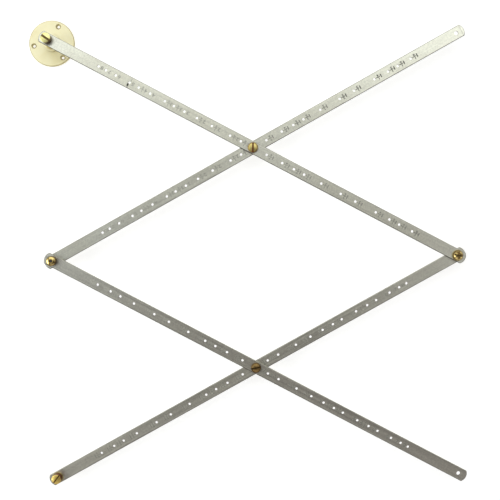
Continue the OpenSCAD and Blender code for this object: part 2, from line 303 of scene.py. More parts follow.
@dataclass(frozen=True)
class BrushedMetal:
    """Rolled bar stock, brushed along its length and stained by handling."""

    name: str
    colour: Colour
    stain: Colour
    roughness: float
    depth: float = 0.004
    fineness: float = 0.8
    streak_shade: Range = (0.9, 1.07)
    streak_roughness: Range = (-0.06, 0.06)
    speckle: float = 0.55
    speckle_shade: Range = (0.91, 1.07)
    stain_size: float = 60.0 * MM
    stain_share: float = 0.5
    stain_roughness: float = 0.08
    scratch_depth: float = 0.5
    slot: str = "bars"

    def material(self) -> bpy.types.Material:
        """Make the material.

        Returns:
            The material.
        """
        material, graph = start_material(self.name)
        drawn = graph.drawn()
        grain = graph.group(brushed_grain(), {"Place": drawn, "Fineness": self.fineness}).outputs["Streak"]
        stains = graph.group(tarnish(), {"Place": graph.whole(), "Size": self.stain_size}).outputs["Stain"]
        lines = graph.group(hairline_scratches(), {"Place": drawn}).outputs["Line"]
        soiled = graph.math("MULTIPLY", stains, self.stain_share)
        specks = graph.vary(graph.noise(drawn, self.speckle, detail=3.0), self.speckle_shade)
        shade = graph.math("MULTIPLY", graph.vary(grain, self.streak_shade), specks)
        colour = graph.shaded(graph.mix(soiled, self.colour, self.stain), shade)
        rough = graph.math("ADD", graph.vary(grain, self.streak_roughness), self.roughness)
        rough = graph.math("ADD", rough, graph.math("MULTIPLY", soiled, self.stain_roughness))
        height = graph.math("SUBTRACT", grain, graph.math("MULTIPLY", lines, self.scratch_depth))
        end_material(graph, {"Base Color": colour, "Roughness": rough, "Metallic": 1.0}, height, self.depth)
        return material


@dataclass(frozen=True)
class TurnedMetal:
    """Metal turned on a lathe, with fine tool rings, stains, and a painted shade that darkens it all round
    towards a rim.

    The rim is the radius at which that painted shade is strongest, which by default lies outside every piece.
    """

    name: str
    colour: Colour
    stain: Colour
    roughness: float
    # The rim fields place the painted rim shade: the radius where it is strongest, the share of that radius
    # where it starts, and how strong it gets.
    rim: float = 40.0
    rim_shade_start: float = 0.7
    rim_shade_share: float = 0.9
    pitch: float = 0.12
    depth: float = 0.002
    ring_roughness: Range = (-0.04, 0.05)
    stain_size: float = 7.0 * MM
    stain_share: float = 0.6
    stain_roughness: float = 0.15
    mottle_range: Range = (0.35, 0.65)
    mottle_roughness: Range = (-0.02, 0.03)
    scratch_depth: float = 0.4
    slot: str = "fittings"

    def material(self) -> bpy.types.Material:
        """Make the material.

        Returns:
            The material.
        """
        material, graph = start_material(self.name)
        drawn = graph.drawn()
        turning = graph.group(turning_marks(), {"Place": drawn, "Pitch": self.pitch}).outputs
        stains = graph.group(tarnish(), {"Place": graph.whole(), "Size": self.stain_size}).outputs
        lines = graph.group(hairline_scratches(), {"Place": drawn}).outputs["Line"]
        # Painted shade: the colour darkens towards the rim, standing in for the dark room that a head's
        # flanks reflect.
        rim_shade = graph.fit(turning["Radius"], (self.rim_shade_start * self.rim, self.rim), (0.0, self.rim_shade_share))
        # soiled holds the real stains and the painted rim shade together.
        soiled = graph.math("MAXIMUM", graph.math("MULTIPLY", stains["Stain"], self.stain_share), rim_shade)
        colour = graph.mix(soiled, self.colour, self.stain)
        rough = graph.math("ADD", graph.vary(turning["Ring"], self.ring_roughness), self.roughness)
        rough = graph.math("ADD", rough, graph.math("MULTIPLY", soiled, self.stain_roughness))
        mottled = graph.fit(stains["Mottle"], self.mottle_range, self.mottle_roughness)
        rough = graph.math("ADD", rough, mottled)
        height = graph.math("SUBTRACT", turning["Ring"], graph.math("MULTIPLY", lines, self.scratch_depth))
        end_material(graph, {"Base Color": colour, "Roughness": rough, "Metallic": 1.0}, height, self.depth)
        return material


@dataclass(frozen=True)
class NumberFill:
    """Dull fill in stamped numbers, which is worn thin where it was handled."""

    name: str
    fresh: Colour
    worn: Colour
    roughness: Range = (0.62, 0.85)
    depth: float = 0.01
    mottle_size: float = 9.0 * MM
    mottle_range: Range = (0.3, 0.6)
    mottle_share: Range = (0.75, 1.0)
    slot: str = "bars"

    def material(self) -> bpy.types.Material:
        """Make the material.

        Returns:
            The material.
        """
        material, graph = start_material(self.name)
        ink = graph.add("ShaderNodeAttribute", attribute_name=INK).outputs["Fac"]
        mottle = graph.group(tarnish(), {"Place": graph.whole(), "Size": self.mottle_size}).outputs["Mottle"]
        left = graph.math("MULTIPLY", ink, graph.fit(mottle, self.mottle_range, self.mottle_share))
        colour = graph.mix(left, self.worn, self.fresh)
        rough = graph.vary(mottle, self.roughness)
        end_material(graph, {"Base Color": colour, "Roughness": rough, "Metallic": 0.0}, mottle, self.depth)
        return material


@dataclass(frozen=True)
class DrawingGraphite:
    """Pressed graphite, grey with a faint sheen along its length."""

    name: str
    colour: Colour
    sheen: Colour
    sheen_range: Range = (0.4, 0.65)
    roughness: Range = (0.5, 0.36)
    metallic: float = 0.35
    depth: float = 0.01
    grain_stretch: Triple = (4.0, 4.0, 0.3)
    slot: str = "lead"

    def material(self) -> bpy.types.Material:
        """Make the material.

        Returns:
            The material.
        """
        material, graph = start_material(self.name)
        streak = graph.noise(graph.stretch(graph.drawn(), self.grain_stretch), detail=4.0)
        colour = graph.mix(graph.fit(streak, self.sheen_range), self.colour, self.sheen)
        rough = graph.vary(streak, self.roughness)
        inputs = {"Base Color": colour, "Roughness": rough, "Metallic": self.metallic}
        end_material(graph, inputs, streak, self.depth)
        return material


@dataclass(frozen=True)
class StudioPaper:
    """Pale paper of the floor and the backdrop, which reads as white and still takes a shadow."""

    name: str
    colour: Colour
    lift: float
    fibre: float = 40.0
    fibre_shade: Range = (0.985, 1.0)

    def material(self) -> bpy.types.Material:
        """Make the material.

        Returns:
            The material.
        """
        material, graph = start_material(self.name)
        fibre = graph.vary(graph.noise(graph.whole(), self.fibre, detail=3.0), self.fibre_shade)
        paper = graph.add("ShaderNodeBsdfDiffuse", {"Color": graph.shaded(self.colour, fibre)})
        path = graph.add("ShaderNodeLightPath").outputs
        seen = graph.math("MAXIMUM", path["Is Camera Ray"], path["Is Glossy Ray"])
        seen = graph.math("MAXIMUM", seen, path["Is Transmission Ray"])
        glow = graph.add("ShaderNodeEmission", {"Strength": graph.math("MULTIPLY", seen, self.lift)})
        both = graph.add("ShaderNodeAddShader", {0: paper.outputs[0], 1: glow.outputs[0]})
        graph.add("ShaderNodeOutputMaterial", {"Surface": both.outputs[0]})
        return material


class Finish(Enum):
    """The finishes on the instrument and in the studio."""

    BAR_FACE = BrushedMetal("brushed_bar_face", (0.80, 0.795, 0.70, 1), (0.66, 0.64, 0.54, 1), 0.36)
    # Painted shade: a darker copy of the bar face for the lower cross bar, which lies where the reflections
    # are dimmer.
    SHADED_FACE = BrushedMetal("painted_shade_bar_face", (0.72, 0.705, 0.625, 1), (0.58, 0.56, 0.48, 1), 0.36)
    # The walls' darker tone is partly the sheared metal and partly painted shade.
    BAR_EDGE = BrushedMetal("sheared_and_painted_shade_bar_edge", (0.46, 0.45, 0.39, 1), (0.32, 0.305, 0.26, 1), 0.45,
                            depth=0.008)
    # Painted shade: a dark copy of the edge finish for the holes' walls and the edges on the near side.
    SHADED_EDGE = BrushedMetal("painted_shade_bar_edge", (0.14, 0.13, 0.11, 1), (0.09, 0.08, 0.065, 1), 0.45,
                                depth=0.008)
    NUMBERS = NumberFill("number_fill", (0.05, 0.048, 0.04, 1), (0.72, 0.71, 0.62, 1))
    PLATE = TurnedMetal("pale_brass_plate", (0.97, 0.915, 0.66, 1), (0.92, 0.85, 0.57, 1), 0.62,
                        pitch=0.4, stain_size=30.0 * MM, stain_share=0.5, slot="plate")
    # Painted shade: a darker, duller copy of brass for washers, the plate's rim and countersinks, and the
    # post's column.
    DIM_SHADE_BRASS = TurnedMetal("painted_dim_shade_brass", (0.60, 0.53, 0.28, 1), (0.40, 0.34, 0.16, 1), 0.38,
                             pitch=0.2, stain_size=12.0 * MM)
    # Painted light: a brighter, paler copy of brass for the top of the anchor's knob.
    LIT_BRASS = TurnedMetal("painted_light_brass", (0.92, 0.86, 0.38, 1), (0.74, 0.62, 0.22, 1), 0.34)
    # The rim values of these brass finishes place their painted rim shade.
    BRASS = TurnedMetal("turned_brass", (0.78, 0.60, 0.215, 1), (0.34, 0.21, 0.06, 1), 0.34, rim=5.0)
    YELLOW_BRASS = TurnedMetal("yellow_brass", (0.66, 0.54, 0.205, 1), (0.30, 0.20, 0.06, 1), 0.36, rim=5.2)
    GOLD_BRASS = TurnedMetal("gold_brass", (0.85, 0.64, 0.19, 1), (0.42, 0.25, 0.07, 1), 0.36,
                             stain_size=3.0 * MM)
    # Its dark rim is painted shade, and its dark patches are partly stains and partly painted shade on the
    # domed heads.
    STAINED_SHADED_BRASS = TurnedMetal("stained_and_painted_shade_brass", (0.76, 0.59, 0.235, 1), (0.10, 0.055, 0.018, 1), 0.17,
                             rim=5.4, stain_size=5.0 * MM, stain_share=1.0)
    # Painted shade: a dark red-brown brass for the sides and slots of the upper crossing's screw and the
    # tracer's screw.
    RED_SHADE_BRASS = TurnedMetal("painted_red_shade_brass", (0.22, 0.085, 0.04, 1), (0.12, 0.05, 0.025, 1), 0.36)
    # Painted reflection: a dark brown copy of brass for the top of the lower crossing's head, which reflects
    # a dark part of the room.
    DARK_REFLECTION_BRASS = TurnedMetal("painted_dark_reflection_brass", (0.39, 0.26, 0.10, 1), (0.12, 0.075, 0.032, 1), 0.3, rim=4.8)
    # Painted shade: a very dark brass for the sides, slots and countersinks of heads, standing in for the
    # dark room that they reflect.
    DEEP_SHADE_BRASS = TurnedMetal("painted_deep_shade_brass", (0.15, 0.10, 0.04, 1), (0.06, 0.035, 0.015, 1), 0.36)
    STEEL = TurnedMetal("ground_steel", (0.58, 0.58, 0.58, 1), (0.38, 0.37, 0.36, 1), 0.26, slot="point")
    GRAPHITE = DrawingGraphite("drawing_graphite", (0.035, 0.035, 0.038, 1), (0.11, 0.11, 0.115, 1))
    PAPER = StudioPaper("studio_paper", (0.62, 0.62, 0.62, 1), 0.67)

    @property
    def slot(self) -> str:
        """The name of the record's material slot that goes with this finish."""
        return self.value.slot


@cache
def material_of(finish: Finish) -> bpy.types.Material:
    """Make a finish's material once and return it."""
    return finish.value.material()


def joint_at(name: str) -> Vector:
    """Return a point on a joint's axis, in millimetres."""
    return next(Vector(joint["pos_m"]) / MM for joint in frame["joints"] if joint["name"] == name)


def mount_named(name: str) -> dict:
    """Return what the record says of a mount."""
    return next(mount for mount in frame["record"]["mounts"] if mount["name"] == name)


def mount_at(name: str) -> Vector:
    """Return a mount's place, in millimetres."""
    return Vector(mount_named(name)["pos_m"]) / MM


def levels(node: str) -> tuple[float, float]:
    """Return the lowest and highest level of a CAD node, in millimetres."""
    low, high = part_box(node)
    return low.z / MM, high.z / MM


def half_width(node: str) -> float:
    """Return half of a CAD node's size along X, in millimetres."""
    low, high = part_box(node)
    return (high.x - low.x) / 2 / MM


def keep(mesh: bmesh.types.BMesh, name: str) -> bpy.types.Mesh:
    """Store a drawn mesh.

    Args:
        mesh: the drawn mesh, which is used up.
        name: the name to store it under.

    Returns:
        The stored mesh.
    """
    data = bpy.data.meshes.new(name)
    mesh.to_mesh(data)
    mesh.free()
    return data


def put_in_scene(name: str, data: bpy.types.ID) -> bpy.types.Object:
    """Make an object and link it into the scene.

    Args:
        name: the object's name.
        data: its mesh, text, lamp or camera.

    Returns:
        The object.
    """
    item = bpy.data.objects.new(name, data)
    bpy.context.scene.collection.objects.link(item)
    return item


def shade_smooth(data: bpy.types.Mesh) -> None:
    """Shade every face of a mesh smooth."""
    data.polygons.foreach_set("use_smooth", [True] * len(data.polygons))


def add_piece(name: str, mesh: bmesh.types.BMesh, place: Matrix, body: str, finishes: list[Finish],
              node: str | None = None, sharp: float = CRISP) -> bpy.types.Object:
    """Put a drawn mesh in its place on the object.

    Args:
        name: the piece's name.
        mesh: the piece as it was drawn, in millimetres.
        place: where it goes, in millimetres.
        body: the CAD body that it moves with.
        finishes: its finishes, in the order of its faces' numbers.
        node: the CAD node that it stands for, if any.
        sharp: the least angle between two faces that stays a crisp edge, in degrees.

    Returns:
        The new object.
    """
    bmesh.ops.recalc_face_normals(mesh, faces=mesh.faces)
    data = keep(mesh, name)
    drawn = data.attributes.new(DRAWN, "FLOAT_VECTOR", "POINT")
    drawn.data.foreach_set("vector", [number for vertex in data.vertices for number in vertex.co])
    data.transform(Matrix.Scale(MM, 4) @ place)
    shade_smooth(data)
    data.set_sharp_from_angle(angle=radians(sharp))
    for finish in finishes:
        data.materials.append(material_of(finish))
    piece = put_in_scene(name, data)
    even = piece.modifiers.new("even_normals", "WEIGHTED_NORMAL")
    even.keep_sharp = True
    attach(piece, body)
    finishes[0].slot
    if node:
        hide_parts(node)
    LOG.info("%s: %d faces on %s", name, len(data.polygons), body)
    return piece


def ease_edges(mesh: bmesh.types.BMesh, width: float, above: float = -inf) -> None:
    """Round every sharp edge.

    Args:
        mesh: the mesh to change.
        width: how far the rounding reaches from the edge.
        above: the level below which edges stay as they are, such as a thread's.
    """
    high = [edge for edge in mesh.edges if min(vertex.co.z for vertex in edge.verts) > above - NEAR]
    sharp = [edge for edge in high if edge.is_manifold and edge.calc_face_angle() > radians(EASED)]
    bmesh.ops.bevel(mesh, geom=sharp, offset=width, offset_type="OFFSET", segments=2, profile=0.5,
                    affect="EDGES", material=-1, clamp_overlap=True)


def sweep(mesh: bmesh.types.BMesh, start: bmesh.types.BMVert, centre: Triple, axis: Triple, angle: float,
          steps: int) -> bmesh.types.BMVert:
    """Draw an arc from a point.

    Args:
        mesh: the mesh to draw in.
        start: the arc's first point.
        centre: a point on the arc's axis.
        axis: the direction of that axis.
        angle: how far the arc goes round it, in radians.
        steps: the number of strokes in the arc.

    Returns:
        The arc's last point.
    """
    made = bmesh.ops.spin(mesh, geom=[start], cent=centre, axis=axis, angle=angle, steps=steps)
    return next(part for part in made["geom_last"] if isinstance(part, bmesh.types.BMVert))


def ball_radius(radius: float, crown: float) -> float:
    """Return the radius of the ball that a head's crown is a cap of."""
    return (radius ** 2 + crown ** 2) / (2 * crown)


class Turning:
    """A profile that is drawn in the XZ plane and turned round the Z axis, as on a lathe."""

    def __init__(self, radius: float, height: float) -> None:
        """Set the first point of the profile.

        Args:
            radius: its distance from the axis.
            height: its level.
        """
        self.mesh = bmesh.new()
        self.first = self.mesh.verts.new((radius, 0, height))
        self.tip = self.first

    @classmethod
    def crowned(cls, radius: float, top: float, crown: float) -> "Turning":
        """Start on the axis at the top of a head and draw its crown out to the rim.

        Args:
            radius: the head's radius.
            top: the level of its top.
            crown: the height of the crown.

        Returns:
            The profile so far.
        """
        ball = ball_radius(radius, crown)
        return cls(0, top).arc(top - ball, asin(radius / ball))

    def to(self, radius: float, height: float) -> "Turning":
        """Draw a straight stroke.

        Args:
            radius: the distance from the axis at which it ends.
            height: the level at which it ends.

        Returns:
            The profile.
        """
        point = self.mesh.verts.new((radius, 0, height))
        self.mesh.edges.new((self.tip, point))
        self.tip = point
        return self

    def arc(self, height: float, angle: float, steps: int = 14, radius: float = 0.0) -> "Turning":
        """Draw an arc.

        Args:
            height: the level of the arc's centre.
            angle: how far the arc goes, away from the top, in radians.
            steps: the number of strokes in it.
            radius: the distance of its centre from the axis.

        Returns:
            The profile.
        """
        self.tip = sweep(self.mesh, self.tip, (radius, 0, height), (0, 1, 0), angle, steps)
        return self

    def thread(self, height: float, pitch: float = 0.5, depth: float = 0.27) -> "Turning":
        """Cut a thread's grooves from the last point straight to a level.

        Args:
            height: the level where the thread ends.
            pitch: about how far its crests are apart.
            depth: the depth of its grooves.

        Returns:
            The profile.
        """
        radius, start = self.tip.co.x, self.tip.co.z
        turns = round(abs(height - start) / pitch)
        step = (height - start) / turns
        for number in range(turns):
            crest = start + (number + 1) * step
            self.to(radius - depth, crest - step / 2).to(radius, crest)
        return self

    def close(self) -> "Turning":
        """Draw a last stroke to the first point, for a ring, and return the profile."""
        self.mesh.edges.new((self.tip, self.first))
        return self

    def turn(self, flats: int = 72) -> bmesh.types.BMesh:
        """Spin the profile once round the axis.

        Args:
            flats: the number of flats round the axis.

        Returns:
            The turned mesh.
        """
        bmesh.ops.spin(self.mesh, geom=[*self.mesh.verts, *self.mesh.edges], cent=(0, 0, 0), axis=(0, 0, 1),
                       angle=tau, steps=flats, use_merge=True)
        bmesh.ops.remove_doubles(self.mesh, verts=self.mesh.verts, dist=WELD)
        return self.mesh


def ring(outer: float, inner: float, low: float, high: float, eased: float = 0.12) -> bmesh.types.BMesh:
    """Turn a flat ring.

    Args:
        outer: its outer radius.
        inner: its inner radius.
        low: its lower level.
        high: its upper level.
        eased: how far its edges are rounded.

    Returns:
        The ring's mesh.
    """
    mesh = Turning(outer, high).to(outer, low).to(inner, low).to(inner, high).close().turn()
    ease_edges(mesh, eased)
    return mesh


def split(mesh: bmesh.types.BMesh, faces: list[bmesh.types.BMFace], point: Vector, normal: Vector) -> None:
    """Cut some faces along a plane.

    Args:
        mesh: the mesh that holds the faces.
        faces: the faces.
        point: a point on the plane.
        normal: the plane's normal.
    """
    parts = dict.fromkeys(part for face in faces for part in (*face.verts, *face.edges, face))
    bmesh.ops.bisect_plane(mesh, geom=list(parts), dist=ON_PLANE, plane_co=point, plane_no=normal)


def cut_slot(mesh: bmesh.types.BMesh, width: float, floor: float, turn: float) -> None:
    """Mill a screwdriver slot across the top of a turned head, with the second finish, a painted shade, on
    its walls and floor.

    Args:
        mesh: the head, with its axis on Z.
        width: the slot's width.
        floor: the level of the slot's floor.
        turn: the slot's direction from +X, in degrees.
    """
    across = Matrix.Rotation(radians(turn), 3, "Z") @ Vector((0, 1, 0))
    sides = (across, -across)

    def inside(face: bmesh.types.BMFace) -> bool:
        """Tell whether a face lies between the slot's walls."""
        return abs(face.calc_center_median().dot(across)) < width / 2

    def on_floor(vertex: bmesh.types.BMVert) -> bool:
        """Tell whether a point is level with the slot's floor."""
        return abs(vertex.co.z - floor) < NEAR

    def on_wall(vertex: bmesh.types.BMVert, side: Vector) -> bool:
        """Tell whether a point lies on the wall at one side of the slot."""
        return abs(vertex.co.dot(side) - width / 2) < NEAR

    for side in sides:
        head = [face for face in mesh.faces if max(vertex.co.z for vertex in face.verts) > floor + NEAR]
        split(mesh, head, side * width / 2, side)
    split(mesh, [face for face in mesh.faces if inside(face)], Vector((0, 0, floor)), Vector((0, 0, 1)))
    cut = [face for face in mesh.faces if inside(face) and face.calc_center_median().z > floor]
    bmesh.ops.delete(mesh, geom=cut, context="FACES")

    rim = [edge for edge in mesh.edges if edge.is_boundary]
    low_rim = [edge for edge in rim if all(on_floor(vertex) for vertex in edge.verts)]
    for side in sides:
        wall = [edge for edge in rim if all(on_wall(vertex, side) for vertex in edge.verts)]
        feet = dict.fromkeys(vertex for edge in wall for vertex in edge.verts if on_floor(vertex))
        foot_edge = mesh.edges.new(tuple(feet))
        low_rim.append(foot_edge)
        bmesh.ops.edgeloop_fill(mesh, edges=[*wall, foot_edge], mat_nr=1)
    bmesh.ops.edgeloop_fill(mesh, edges=low_rim, mat_nr=1)


def knurl(mesh: bmesh.types.BMesh, radius: float, depth: float, count: int) -> None:
    """Press straight grooves into the outer wall of a piece that was turned with flats for them.

    Args:
        mesh: the turned piece.
        radius: its outer radius.
        depth: the depth of the grooves.
        count: the number of grooves.
    """
    for vertex in mesh.verts:
        column = round(atan2(vertex.co.y, vertex.co.x) / tau * GROOVE_FLATS * count)
        if hypot(vertex.co.x, vertex.co.y) > radius - depth and column % GROOVE_FLATS == 0:
            vertex.co.xy *= (radius - depth) / radius


def shade_sides(mesh: bmesh.types.BMesh, rim: float, sink: float = 0.0) -> None:
    """Give the sides and the underside of a head its second finish, a painted shade.

    Args:
        mesh: the head.
        rim: the level of the lower edge of its polished top.
        sink: the radius of a countersink in its middle, which takes the painted shade too.
    """
    steepest = 0.35
    bmesh.ops.recalc_face_normals(mesh, faces=mesh.faces)
    for face in mesh.faces:
        middle = face.calc_center_median()
        on_top = face.normal.z > steepest and middle.z > rim and middle.xy.length > sink
        face.material_index = 0 if on_top else 1


def drill(mesh: bmesh.types.BMesh, radius: float, depth: float, place: Matrix,
          flats: int = 32) -> bmesh.types.BMesh:
    """Drill a round hole.

    Args:
        mesh: the stock, which is used up.
        radius: the hole's radius.
        depth: its depth.
        place: the frame whose Z axis the hole follows from its origin.
        flats: the number of flats round the hole.

    Returns:
        The drilled mesh.
    """
    bit = bmesh.new()
    bmesh.ops.create_cone(bit, cap_ends=True, segments=flats, radius1=radius, radius2=radius, depth=depth,
                          matrix=place @ Matrix.Translation((0, 0, depth / 2)))
    stock, tool = (put_in_scene("drilling", keep(part, "drilling")) for part in (mesh, bit))
    cut = stock.modifiers.new("hole", "BOOLEAN")
    cut.object = tool
    drilled = bmesh.new()
    drilled.from_object(stock, bpy.context.evaluated_depsgraph_get())
    for holder in (stock, tool):
        bpy.data.objects.remove(holder)
    return drilled


def circle(mesh: bmesh.types.BMesh, radius: float, centre: Triple, steps: int = 40) -> Loop:
    """Draw a level circle.

    Args:
        mesh: the mesh to draw in.
        radius: the circle's radius.
        centre: its centre.
        steps: the number of strokes in it.

    Returns:
        Its edges.
    """
    made = bmesh.ops.create_circle(mesh, cap_ends=False, radius=radius, segments=steps,
                                   matrix=Matrix.Translation(centre))
    return list(dict.fromkeys(edge for vertex in made["verts"] for edge in vertex.link_edges))


def fill_sheet(mesh: bmesh.types.BMesh, walls: list[list[Loop]]) -> None:
    """Make a drilled sheet, with its walls in the second finish, from the loops of its rim and its holes.

    Args:
        mesh: the mesh that holds the loops.
        walls: for the rim and for each hole its loops, from the top face down to the lower face.
    """
    for wall in walls:
        for upper, lower in zip(wall, wall[1:]):
            made = bmesh.ops.bridge_loops(mesh, edges=[*upper, *lower])
            for face in made["faces"]:
                face.material_index = 1
    for end in (0, -1):
        edges = [edge for wall in walls for edge in wall[end]]
        bmesh.ops.triangle_fill(mesh, use_beauty=True, use_dissolve=False, edges=edges, normal=(0, 0, 1))


@cache
def glyphs(text: str, height: float, width: float = 0.0, bold: float = 0.02) -> bpy.types.Mesh:
    """Make the flat mesh of some digits or of a straight stroke.

    Args:
        text: the digits, or a hyphen for a stroke.
        height: their height.
        width: their width, or 0 for the width that goes with the height.
        bold: how much their strokes are thickened.

    Returns:
        The mesh, centred on the origin and one unit thick.
    """
    curve_steps, thickness = 3, 0.01
    curve = bpy.data.curves.new("digits", "FONT")
    curve.body = text
    curve.resolution_u = curve_steps
    curve.offset = bold
    curve.extrude = thickness
    holder = put_in_scene("digits", curve)
    data = bpy.data.meshes.new_from_object(holder.evaluated_get(bpy.context.evaluated_depsgraph_get()))
    bpy.data.objects.remove(holder)
    low = Vector(min(vertex.co[axis] for vertex in data.vertices) for axis in range(3))
    high = Vector(max(vertex.co[axis] for vertex in data.vertices) for axis in range(3))
    size = high - low
    scale = (width / size.x if width else height / size.y, height / size.y, 1 / size.z, 1)
    data.transform(Matrix.Diagonal(scale) @ Matrix.Translation(-(low + high) / 2))
    return data


def half_length(data: bpy.types.Mesh) -> float:
    """Return half of a centred mesh's size along X."""
    return max(vertex.co.x for vertex in data.vertices)


@dataclass(frozen=True)
class Scratch:
    """A straight mark whose length lies across a bar.

    Its middle is given along the bar and aside from the middle of the zero end's hole.
    """

    along: float
    aside: float
    width: float
    length: float
    ink: float


@dataclass(frozen=True)
class Bar:
    """A drilled bar with a number beside each ratio hole, counted from the bar's zero end."""

    node: str
    zero: Vector
    far: Vector
    ink_near: float
    ink_far: float
    scratches: tuple[Scratch, ...] = ()
    face: Finish = Finish.BAR_FACE
    width: float = 13.3
    end_radius: float = 9.5
    end_steps: int = 20
    ratio_hole: float = 1.35
    end_hole: float = 2.1
    eased: float = 0.6
    hole_eased: float = 0.06
    crisp: float = 20.0
    digit: float = 3.9
    small_digit: float = 2.5
    spread: float = 1.25
    bold: float = 0.035
    ink_bend: float = 3.0
    number_gap: float = 1.5
    digit_gap: float = 0.6
    number_rise: float = 0.03
    rule: float = 0.75
    rule_reach: float = 0.9
    rule_lead: float = 0.9
    marks: tuple[str, ...] = (
        "8", "7", "6", "5", "4 1/2", "4", "3 1/2", "3 1/4", "3", "2 3/4", "2 1/2", "2 1/4", "2 1/8", "2",
        "1 7/8", "1 3/4", "1 2/3", "1 3/5", "1 1/2", "1 2/5", "1 1/3", "1 1/4", "1 1/5", "1 1/6", "1 1/8",
    )

    @property
    def length(self) -> float:
        """The distance between the two end holes."""
        return (self.far - self.zero).xy.length

    @property
    def place(self) -> Matrix:
        """Where the bar's own frame lies, with its zero end at the origin and its length along X."""
        along, start = self.far - self.zero, Matrix.Translation((self.zero.x, self.zero.y, 0))
        return start @ Matrix.Rotation(atan2(along.y, along.x), 4, "Z")

    def hole_at(self, mark: str) -> float:
        """Return the distance from the zero end to the hole of a ratio."""
        return self.length / float(sum(Fraction(part) for part in mark.split()))

    def outline(self, mesh: bmesh.types.BMesh, inset: float, z: float) -> Loop:
        """Draw the bar's outline: two straight sides and a shallow arc round each end hole.

        Args:
            mesh: the mesh to draw in.
            inset: how far the outline is drawn in.
            z: its level.

        Returns:
            The outline's edges.
        """
        before = set(mesh.edges)
        half, radius = self.width / 2 - inset, self.end_radius - inset
        angle = 2 * asin(half / radius)
        tips = []
        for centre, side in ((0.0, -1), (self.length, 1)):
            first = mesh.verts.new((centre + side * radius * cos(angle / 2), -side * half, z))
            tips += [first, sweep(mesh, first, (centre, 0, z), (0, 0, 1), angle, self.end_steps)]
        mesh.edges.new((tips[1], tips[2]))
        mesh.edges.new((tips[3], tips[0]))
        return [edge for edge in mesh.edges if edge not in before]

    def shade_walls(self, mesh: bmesh.types.BMesh, rim: set[bmesh.types.BMVert]) -> None:
        """Give the third finish, a dark painted shade, to the holes' walls and to the edges that face the
        near side, away from the far lamp.

        Args:
            mesh: the drilled bar, with the second finish on all its walls.
            rim: the points of its outer edge.
        """
        bmesh.ops.recalc_face_normals(mesh, faces=mesh.faces)
        turn = self.place.to_3x3()
        for face in mesh.faces:
            # Outer walls that face the far lamp keep the second finish; every other wall takes the painted
            # shade.
            far_facing = rim.issuperset(face.verts) and (turn @ face.normal).y > 0
            if face.material_index and not far_facing:
                face.material_index = 2

    def build(self) -> list[bpy.types.Object]:
        """Make the bar and its numbers.

        Returns:
            The bar and its numbers.
        """
        low, high = levels(self.node)
        mesh = bmesh.new()
        round_off = 1 - cos(pi / 4)
        upper = ((1.0, high), (round_off, high - round_off * self.eased), (0.0, high - self.eased))
        lower = ((0.0, low + self.eased), (round_off, low + round_off * self.eased), (1.0, low))
        steps = upper + lower
        walls = [[self.outline(mesh, share * self.eased, z) for share, z in steps]]
        rim = {vertex for loop in walls[0] for edge in loop for vertex in edge.verts}
        holes = [(0.0, self.end_hole), (self.length, self.end_hole)]
        holes += [(self.hole_at(mark), self.ratio_hole) for mark in self.marks]
        for x, radius in holes:
            walls.append([circle(mesh, radius + share * self.hole_eased, (x, 0, z)) for share, z in steps])
        fill_sheet(mesh, walls)
        self.shade_walls(mesh, rim)
        finishes = [self.face, Finish.BAR_EDGE, Finish.SHADED_EDGE]
        bar = add_piece(f"drilled_{self.node}", mesh, self.place, self.node, finishes, self.node, self.crisp)
        return [bar, self.number(high)]

    def label(self, mark: str) -> tuple[list[Stroke], float]:
        """Lay out a number, with its fraction nearest to its hole.

        Args:
            mark: the number, as 2 3/4.

        Returns:
            The strokes, each with its mesh, its distance from the label's near end and its rise, and the
            label's length.
        """
        whole, _, part = mark.partition(" ")
        strokes, reach = [], 0.0
        if part:
            rise = self.small_digit / 2 + self.digit_gap
            pair = [glyphs(text, self.small_digit, bold=self.bold) for text in part.split("/")]
            wide = max(half_length(data) for data in pair) * self.spread + self.rule_reach
            strokes = [(data, wide, side * rise) for data, side in zip(pair, (1, -1))]
            line = glyphs("-", self.rule, (2 * wide + self.rule_lead) / self.spread)
            strokes.append((line, wide - self.rule_lead / 2, 0.0))
            reach = 2 * wide + self.digit_gap
        data = glyphs(whole, self.digit, bold=self.bold)
        wide = half_length(data) * self.spread
        strokes.append((data, reach + wide, 0.0))
        return strokes, reach + 2 * wide

    def stamp(self, mesh: bmesh.types.BMesh, data: bpy.types.Mesh, place: Matrix, shade: float) -> None:
        """Add one flat shape to the numbers.

        Args:
            mesh: the numbers.
            data: the shape.
            place: where it goes on the bar.
            shade: how dark it is.
        """
        before = set(mesh.verts)
        mesh.from_mesh(data)
        fresh = [vertex for vertex in mesh.verts if vertex not in before]
        bmesh.ops.transform(mesh, verts=fresh, matrix=place)
        ink = mesh.verts.layers.float[INK]
        for vertex in fresh:
            vertex[ink] = shade

